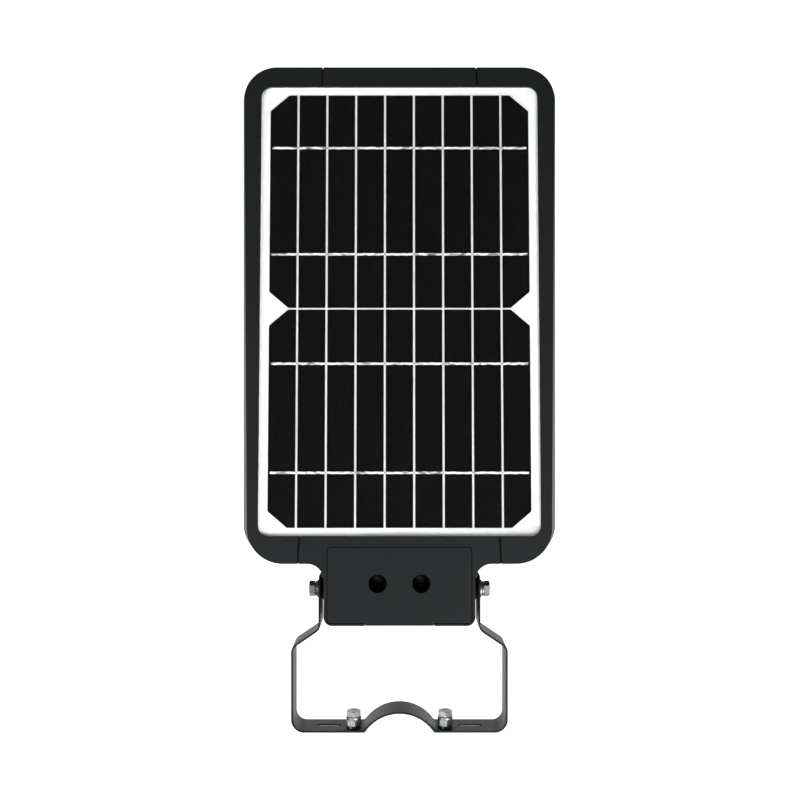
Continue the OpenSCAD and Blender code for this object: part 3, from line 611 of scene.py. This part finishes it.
# Solar laminate: tempered glass on clear resin, two rows of nine black cell strips,
# tinned ribbons across them and a white film behind, bedded on a silicone bead.
slope = math.radians(4)
glass = Finish("tempered_glass")
waver = glass.noise(60 * mm)
glass.set({
    "Base Color": glass.mixed(waver, (0.985, 0.995, 0.99, 1), (1, 1, 1, 1)),
    "Roughness": 0.02 + 0.02 * waver,
    "Transmission Weight": 1.0,
    "IOR": 1.47,
})
glass.relief(waver, 0.05 * mm, 0.3)
pane = eased(taken("solar_glass", "glass_pane"), 0.4 * mm)
fitted(pane, "head", "glass", glass, "solar_glass")
pane.visible_shadow = False

resin = Finish("clear_resin")
haze = resin.noise(3 * mm)
resin.set({
    "Base Color": resin.mixed(haze, (0.9, 0.9, 0.9, 1), (1, 1, 1, 1)),
    "Roughness": 0.3 + 0.1 * haze,
    "Alpha": 0.0004 + 0.0004 * haze,
    "Specular IOR Level": 0.0,
})
coated(resin, "encapsulant")
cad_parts["encapsulant"].visible_shadow = False

strips = boxes_in("solar_cells")
strip_wide = 19.84 * mm
strip_pitch = 21.35 * mm
finger_pitch = strip_wide / 12
first_edge = strips[0][0].x
silicon = Finish("black_silicon")
across, along, _ = silicon.axes()
in_strip = (across - first_edge) % strip_pitch
to_finger = abs((in_strip % finger_pitch) - finger_pitch / 2)
finger = to_finger < 0.07 * mm
crystal = silicon.noise(30 * mm, detail=1.0)
speck = silicon.noise(0.5 * mm, detail=2.0)
wafer = silicon.mixed(crystal, (0.0004, 0.0004, 0.0005, 1), (0.0010, 0.0010, 0.0012, 1))
silicon.set({
    "Base Color": silicon.mixed(finger * (0.5 + 0.5 * speck), wafer, (0.009, 0.009, 0.0094, 1)),
    "Roughness": 0.32 + 0.2 * speck,
    "Specular IOR Level": 0.04,
})
coated(silicon, "solar_cells")

film = Finish("white_film")
pores = film.noise(1.1 * mm, detail=3.0)
cloud = film.noise(70 * mm)
film.set({
    "Base Color": film.mixed(
        0.5 * pores + 0.5 * cloud, (0.72, 0.72, 0.73, 1), (0.80, 0.80, 0.80, 1)),
    "Roughness": 0.55 + 0.1 * pores,
    "Specular IOR Level": 0.2,
})
film.relief(pores, 0.02 * mm, 0.4)
coated(film, "backsheet")
white_silicone = grained("white_silicone", (0.72, 0.72, 0.70), (0.82, 0.82, 0.80),
                         1.5 * mm, 0.55, 0.05 * mm)
coated(white_silicone, "panel_seal")

tinned = Finish("tinned_ribbon")
across, along, _ = tinned.axes()
smear = tinned.noise(1.6 * mm, detail=3.0, stretch=(0.28, 1, 1))
crossing = abs(((across - first_edge) % strip_pitch) - (strip_pitch + strip_wide) / 2)
# Each ribbon is coloured darker where it crosses the gap between two strips.
darker_over_gap = crossing < 0.6 * mm
bright = tinned.node("ShaderNodeValToRGB", {
    "stops": [(0.36, (0.16, 0.15, 0.13, 1)), (0.52, (0.93, 0.93, 0.92, 1))]}, {"Fac": smear})
tinned.set({
    "Base Color": tinned.mixed(darker_over_gap, bright, (0.22, 0.22, 0.21, 1)),
    "Roughness": 0.30 + 0.25 * smear,
    "Metallic": 0.25,
})
tinned.relief(smear, 0.08 * mm, 0.8)

ribbon_wide = 1.6
ribbon_thick = 0.10
for number, (low, high) in enumerate(boxes_in("cell_ribbons")):
    long = high.x - low.x
    bpy.ops.mesh.primitive_grid_add(x_subdivisions=216, y_subdivisions=5, size=1)
    ribbon = bpy.context.object
    ribbon.scale = (long, ribbon_wide * mm, 1)
    seated(ribbon)
    for point in ribbon.data.vertices:
        walk = point.co.x + (low.x + high.x) / 2 - first_edge
        near = abs(walk % strip_pitch - (strip_pitch + strip_wide) / 2) / mm
        pinch = 0.45 + 0.55 * min(1.0, near / 1.3)
        sway = 0.12 * mm * math.sin(walk * 900 + number) + 0.07 * mm * math.sin(walk * 2300)
        point.co.y = point.co.y * pinch + sway * min(1.0, near / 2)
        crumple = math.sin(walk * 1500 + point.co.y * 2500) * math.sin(walk * 610 + number)
        point.co.z = (0.02 * crumple - 0.03) * mm
    alone(ribbon)
    bpy.ops.object.mode_set(mode="EDIT")
    bpy.ops.mesh.select_all(action="SELECT")
    bpy.ops.mesh.extrude_region_move(TRANSFORM_OT_translate={"value": (0, 0, -ribbon_thick * mm)})
    bpy.ops.object.mode_set(mode="OBJECT")
    closed_up(ribbon)
    ribbon.rotation_euler = (-slope, 0, 0)
    ribbon.location = (low + high) / 2 + Vector((0, 0, 0.075 * mm))
    seated(ribbon)
    bpy.ops.object.shade_smooth_by_angle(angle=math.radians(50))
    ribbon.name = ribbon.data.name = "ribbon_" + str(number + 1)
    fitted(ribbon, "head", "ribbon", tinned, "cell_ribbons")

black_plastic = grained("moulded_black", (0.012, 0.012, 0.013), (0.022, 0.022, 0.023),
                        0.5 * mm, 0.42, 0.03 * mm)
red_sleeve = grained("red_sleeve", (0.42, 0.015, 0.01), (0.52, 0.03, 0.02),
                     1.5 * mm, 0.4, 0.01 * mm)
coated(black_plastic, "junction_box", "battery_tray")
coated(red_sleeve, "panel_leads", "battery_leads")


# Lamp boards: a white aluminium board under each wing with two files of 3 mm diode
# packages, and a clear moulded plate over it that has a dome for each of them.
white_board = Finish("white_board")
across, along, _ = white_board.axes()
track = abs((along % (11.25 * mm)) - 5.6 * mm) < 0.35 * mm
dust = white_board.noise(0.4 * mm)
white_board.set({
    "Base Color": white_board.mixed(track, white_board.mixed(
        dust, (0.80, 0.80, 0.78, 1), (0.86, 0.86, 0.84, 1)), (0.66, 0.66, 0.62, 1)),
    "Roughness": 0.4 + 0.1 * dust,
})
white_board.relief(track, 0.03 * mm)
coated(white_board, "led_boards")

package_wide = 3.0
bpy.ops.mesh.primitive_cube_add(size=1)
package = bpy.context.object
package.scale = (package_wide * mm, package_wide * mm, 0.7 * mm)
seated(package)
eased(package, 0.12 * mm, steps=1)
carved(package, turned("dish", [(0, -0.6), (1.25, -0.6), (1.05, -0.18), (0, -0.18)], steps=20))
phosphor = turned("phosphor", [(0, -0.3), (1.0, -0.28), (1.12, -0.2), (1.08, -0.1), (0, -0.1)],
                  steps=20)
spots = [(low + high) / 2 for low, high in boxes_in("led_chips")]
ceramic = grained("white_ceramic", (0.78, 0.78, 0.76), (0.86, 0.86, 0.84),
                  0.3 * mm, 0.35, 0.01 * mm)
phosphor_gel = grained("yellow_phosphor", (0.80, 0.52, 0.04), (0.88, 0.64, 0.08),
                       0.25 * mm, 0.35, 0.02 * mm)
for model, name, finish in ((package, "diode_packages", ceramic),
                            (phosphor, "diode_phosphor", phosphor_gel)):
    copies = [copied(model, name, spot) for spot in spots]
    fitted(joined(name, *copies), "head", "led", finish, "led_chips")
    bpy.data.objects.remove(model)

clear_plate = Finish("clear_plate")
swirl = clear_plate.noise(12 * mm)
clear_plate.set({
    "Base Color": clear_plate.mixed(swirl, (0.95, 0.97, 0.97, 1), (1, 1, 1, 1)),
    "Roughness": 0.05 + 0.06 * swirl,
    "Transmission Weight": 0.95,
    "IOR": 1.49,
})
clear_plate.relief(swirl, 0.05 * mm, 0.3)
coated(clear_plate, "left_lens", "right_lens")
for node in ("left_lens", "right_lens"):
    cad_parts[node].visible_shadow = False
white_sleeve = grained("white_sleeve", (0.66, 0.66, 0.64), (0.78, 0.78, 0.76),
                       1.2 * mm, 0.4, 0.01 * mm)
coated(white_sleeve, "led_leads")


# Small screws: zinc-plated pan heads with a cross recess, twenty to hold the lens
# plates and eight under the battery cover, all driven up from below.
def pan_head(name, head_r, head_h, shank_r, long):
    """A pan-head screw, head up, with a cross recess and ridges down its shank."""
    ridges = []
    pitch = 0.8
    for ridge in range(int(long / pitch)):
        ridges += [(shank_r * 0.8, -pitch * ridge - 0.1), (shank_r, -pitch * ridge - 0.4)]
    screw = turned(name, [
        (0, head_h), (head_r * 0.55, head_h), (head_r * 0.85, head_h * 0.8),
        (head_r, head_h * 0.4), (head_r, 0), *ridges, (shank_r * 0.3, -long), (0, -long)], steps=28)
    for angle in (0, 90):
        bpy.ops.mesh.primitive_cube_add(size=1)
        blade = bpy.context.object
        blade.scale = (head_r * 1.05 * mm, head_r * 0.27 * mm, head_h * mm)
        blade.rotation_euler = (0, 0, math.radians(angle))
        blade.location = (0, 0, head_h * 0.85 * mm)
        seated(blade)
        carved(screw, blade)
    return eased(screw, 0.05 * mm, sharp=50, steps=1)


for node, size in (("lens_screws", (1.8, 1.4, 1.0, 4.6)), ("cover_screws", (3.5, 2.2, 1.6, 7.5))):
    model = pan_head("pan_head", *size)
    for number, (low, high) in enumerate(boxes_in(node)):
        seat = ((low.x + high.x) / 2, (low.y + high.y) / 2, low.z + size[1] * mm)
        screw = copied(model, f"{node[:-1]}_{number + 1}", seat,
                       (math.pi, 0, math.radians(37 * number)))
        fitted(screw, "head", "zinc", zinc, node)
    bpy.data.objects.remove(model)


# Battery: four cells in blue shrink sleeve on a moulded tray, tied with nylon straps
# and joined by nickel links, beside the controller board that charges them.
sleeve = Finish("battery_sleeve")
crease = sleeve.noise(2.2 * mm, detail=3.0, stretch=(1, 0.2, 1))
sleeve.set({
    "Base Color": sleeve.mixed(crease, (0.012, 0.07, 0.22, 1), (0.02, 0.10, 0.30, 1)),
    "Roughness": 0.22 + 0.15 * crease,
    "Coat Weight": 0.3,
})
sleeve.relief(crease, 0.08 * mm, 0.5)
coated(sleeve, "battery_cells")
nickel = grained("nickel_strip", (0.55, 0.52, 0.46), (0.70, 0.67, 0.60), 1.0 * mm, 0.28, 0.01 * mm,
                 metal=1.0, stretch=(0.1, 1, 1))
coated(nickel, "battery_links")

green_board = Finish("green_board")
laid = green_board.node("ShaderNodeMapping", inputs={
    "Vector": green_board.place(), "Scale": (400, 400, 400)})
lines = green_board.node("ShaderNodeTexBrick", {"offset": 0.5}, {
    "Vector": laid, "Scale": 1.0, "Mortar Size": 0.06,
    "Color1": (0, 0, 0, 1), "Color2": (0, 0, 0, 1), "Mortar": (1, 1, 1, 1)}, output=1)
green_board.set({
    "Base Color": green_board.mixed(lines, (0.006, 0.07, 0.025, 1), (0.02, 0.15, 0.06, 1)),
    "Roughness": 0.28 + 0.1 * lines,
})
green_board.relief(lines, 0.03 * mm)
coated(green_board, "controller_board")
ferrite = grained("ferrite", (0.015, 0.015, 0.016), (0.035, 0.034, 0.034), 0.4 * mm, 0.6, 0.05 * mm)
can = grained("drawn_can", (0.50, 0.51, 0.53), (0.66, 0.67, 0.69), 0.8 * mm, 0.26, 0.01 * mm,
              metal=1.0, stretch=(1, 1, 0.1))
ivory = grained("ivory_plug", (0.72, 0.69, 0.60), (0.80, 0.77, 0.68), 0.7 * mm, 0.42, 0.02 * mm)
coated(ferrite, "controller_coil")
coated(can, "controller_caps", "pir_sensor")
coated(ivory, "controller_plugs")
coated(black_plastic, "button_switch")


# Battery cover: the die-cast plate that closes the spine from below on a rubber
# seal, bulged for the cells and coated like the rest of the head.
lid = eased(taken("battery_cover", "cover_plate"), 0.3 * mm)
fitted(lid, "head", "black_paint", black_coat, "battery_cover")


# Motion sensor: a milky dome moulded in small facets that each throw the heat of a
# passer-by on the sensor behind it.
low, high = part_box("pir_lens")
dome_r = 11.3
bpy.ops.mesh.primitive_uv_sphere_add(segments=22, ring_count=14, radius=dome_r * mm)
dome = bpy.context.object
alone(dome)
bpy.ops.object.mode_set(mode="EDIT")
bpy.ops.mesh.select_all(action="SELECT")
bpy.ops.mesh.bisect(plane_co=(0, 0, 0), plane_no=(0, 0, 1), clear_outer=True)
bpy.ops.mesh.select_all(action="SELECT")
bpy.ops.mesh.inset(thickness=0.16 * mm, use_individual=True)
bpy.ops.transform.shrink_fatten(value=0.12 * mm)
bpy.ops.object.mode_set(mode="OBJECT")
applied(dome, "SOLIDIFY", thickness=1.1 * mm, offset=-1)
dome.location = (0, 0, -0.05 * mm)
seated(dome)
collar = turned("collar", [(10, -0.2), (11.4, -0.2), (11.4, 2.5), (14, 2.5), (14, 3.5), (10, 3.5)])
dome = joined("sensor_dome", dome, collar)
dome.location = ((low.x + high.x) / 2, (low.y + high.y) / 2, high.z - 3.5 * mm)
seated(dome)
milky = Finish("milky_dome")
flow = milky.noise(5 * mm)
milky.set({
    "Base Color": milky.mixed(flow, (0.80, 0.81, 0.79, 1), (0.86, 0.87, 0.85, 1)),
    "Roughness": 0.30 + 0.12 * flow,
    "Transmission Weight": 0.15,
})
milky.relief(flow, 0.02 * mm, 0.3)
fitted(dome, "head", "dome", milky, "pir_lens")


# Power button: a red rubber cap with a printed sign, in a round black bezel. It is
# pressed 1.2 mm up against the switch on the controller board.
low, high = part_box("power_button")
centre = Vector(((low.x + high.x) / 2, (low.y + high.y) / 2, low.z))
tall = (high.z - low.z) / mm
cap = turned("button_cap", [
    (0, 0.35), (2.4, 0.3), (3.6, 0.12), (4.3, 0), (4.8, 0.2), (5, 0.7), (5, 6.3),
    (6.4, 6.3), (6.4, 7.3), (2, 7.3), (2, tall), (0, tall)])
bpy.ops.object.shade_smooth_by_angle(angle=math.radians(40))
cap.location = centre
red_rubber = grained("red_rubber", (0.46, 0.012, 0.010), (0.56, 0.025, 0.018),
                     0.6 * mm, 0.5, 0.03 * mm)
fitted(seated(cap), "button", "red_rubber", red_rubber, "power_button")

arc = turned("power_arc", [(1.55, 0.1), (2.05, 0.1), (2.05, 0.5), (1.55, 0.5)], angle=296, steps=40)
alone(arc)
bpy.ops.object.mode_set(mode="EDIT")
bpy.ops.mesh.select_all(action="SELECT")
bpy.ops.mesh.fill_holes(sides=4)
bpy.ops.object.mode_set(mode="OBJECT")
arc.rotation_euler = (0, 0, math.radians(122))
seated(closed_up(arc))
bpy.ops.mesh.primitive_cube_add(size=1)
bar = bpy.context.object
bar.scale = (0.5 * mm, 1.9 * mm, 0.4 * mm)
bar.location = (0, 1.35 * mm, 0.3 * mm)
eased(seated(bar), 0.06 * mm)
sign = joined("power_sign", arc, bar)
sign.location = centre
white_print = grained("white_print", (0.78, 0.78, 0.76), (0.86, 0.86, 0.84),
                      0.3 * mm, 0.5, 0.01 * mm)
fitted(seated(sign), "button", "white_plastic", white_print)

low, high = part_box("button_ring")
bezel = turned("button_bezel", [
    (5.3, 0.4), (5.7, 0), (7.4, 0), (8.0, 0.25), (8.2, 1.0), (6.9, 1.0), (6.9, 4.5), (5.3, 4.5)])
eased(bezel, 0.08 * mm, sharp=60)
bezel.location = ((low.x + high.x) / 2, (low.y + high.y) / 2, low.z)
fitted(seated(bezel), "head", "black_plastic", black_plastic, "button_ring")


# Light pipe and breather: clear pips that show the charge lamps beside the button,
# and a hexagon plug with three slots that lets the housing breathe.
smoked = Finish("smoked_pipe")
swirl = smoked.noise(3 * mm)
smoked.set({
    "Base Color": smoked.mixed(swirl, (0.80, 0.86, 0.82, 1), (0.90, 0.94, 0.90, 1)),
    "Roughness": 0.15 + 0.1 * swirl,
    "Transmission Weight": 0.5,
})
pips = eased(taken("light_pipe", "charge_pips"), 0.25 * mm)
fitted(pips, "head", "lens", smoked, "light_pipe")

low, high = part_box("breather_vent")
plug = hexagon("breather_plug", 9, 2.2)
for angle in (0, 60, 120):
    bpy.ops.mesh.primitive_cube_add(size=1)
    slit = bpy.context.object
    slit.scale = (6.4 * mm, 0.8 * mm, 1.6 * mm)
    slit.rotation_euler = (0, 0, math.radians(angle))
    slit.location = (0, 0, 2.2 * mm)
    carved(plug, seated(slit))
eased(plug, 0.15 * mm, sharp=50)
stem = turned("stem", [(0, 0.1), (2.95, 0.1), (2.95, -4), (2.4, -4.5), (0, -4.5)])
plug = joined("breather_plug", plug, stem)
plug.rotation_euler = (math.pi, 0, math.radians(30))
plug.location = ((low.x + high.x) / 2, (low.y + high.y) / 2, low.z + 2.2 * mm)
fitted(seated(plug), "head", "black_plastic", black_plastic, "breather_vent")
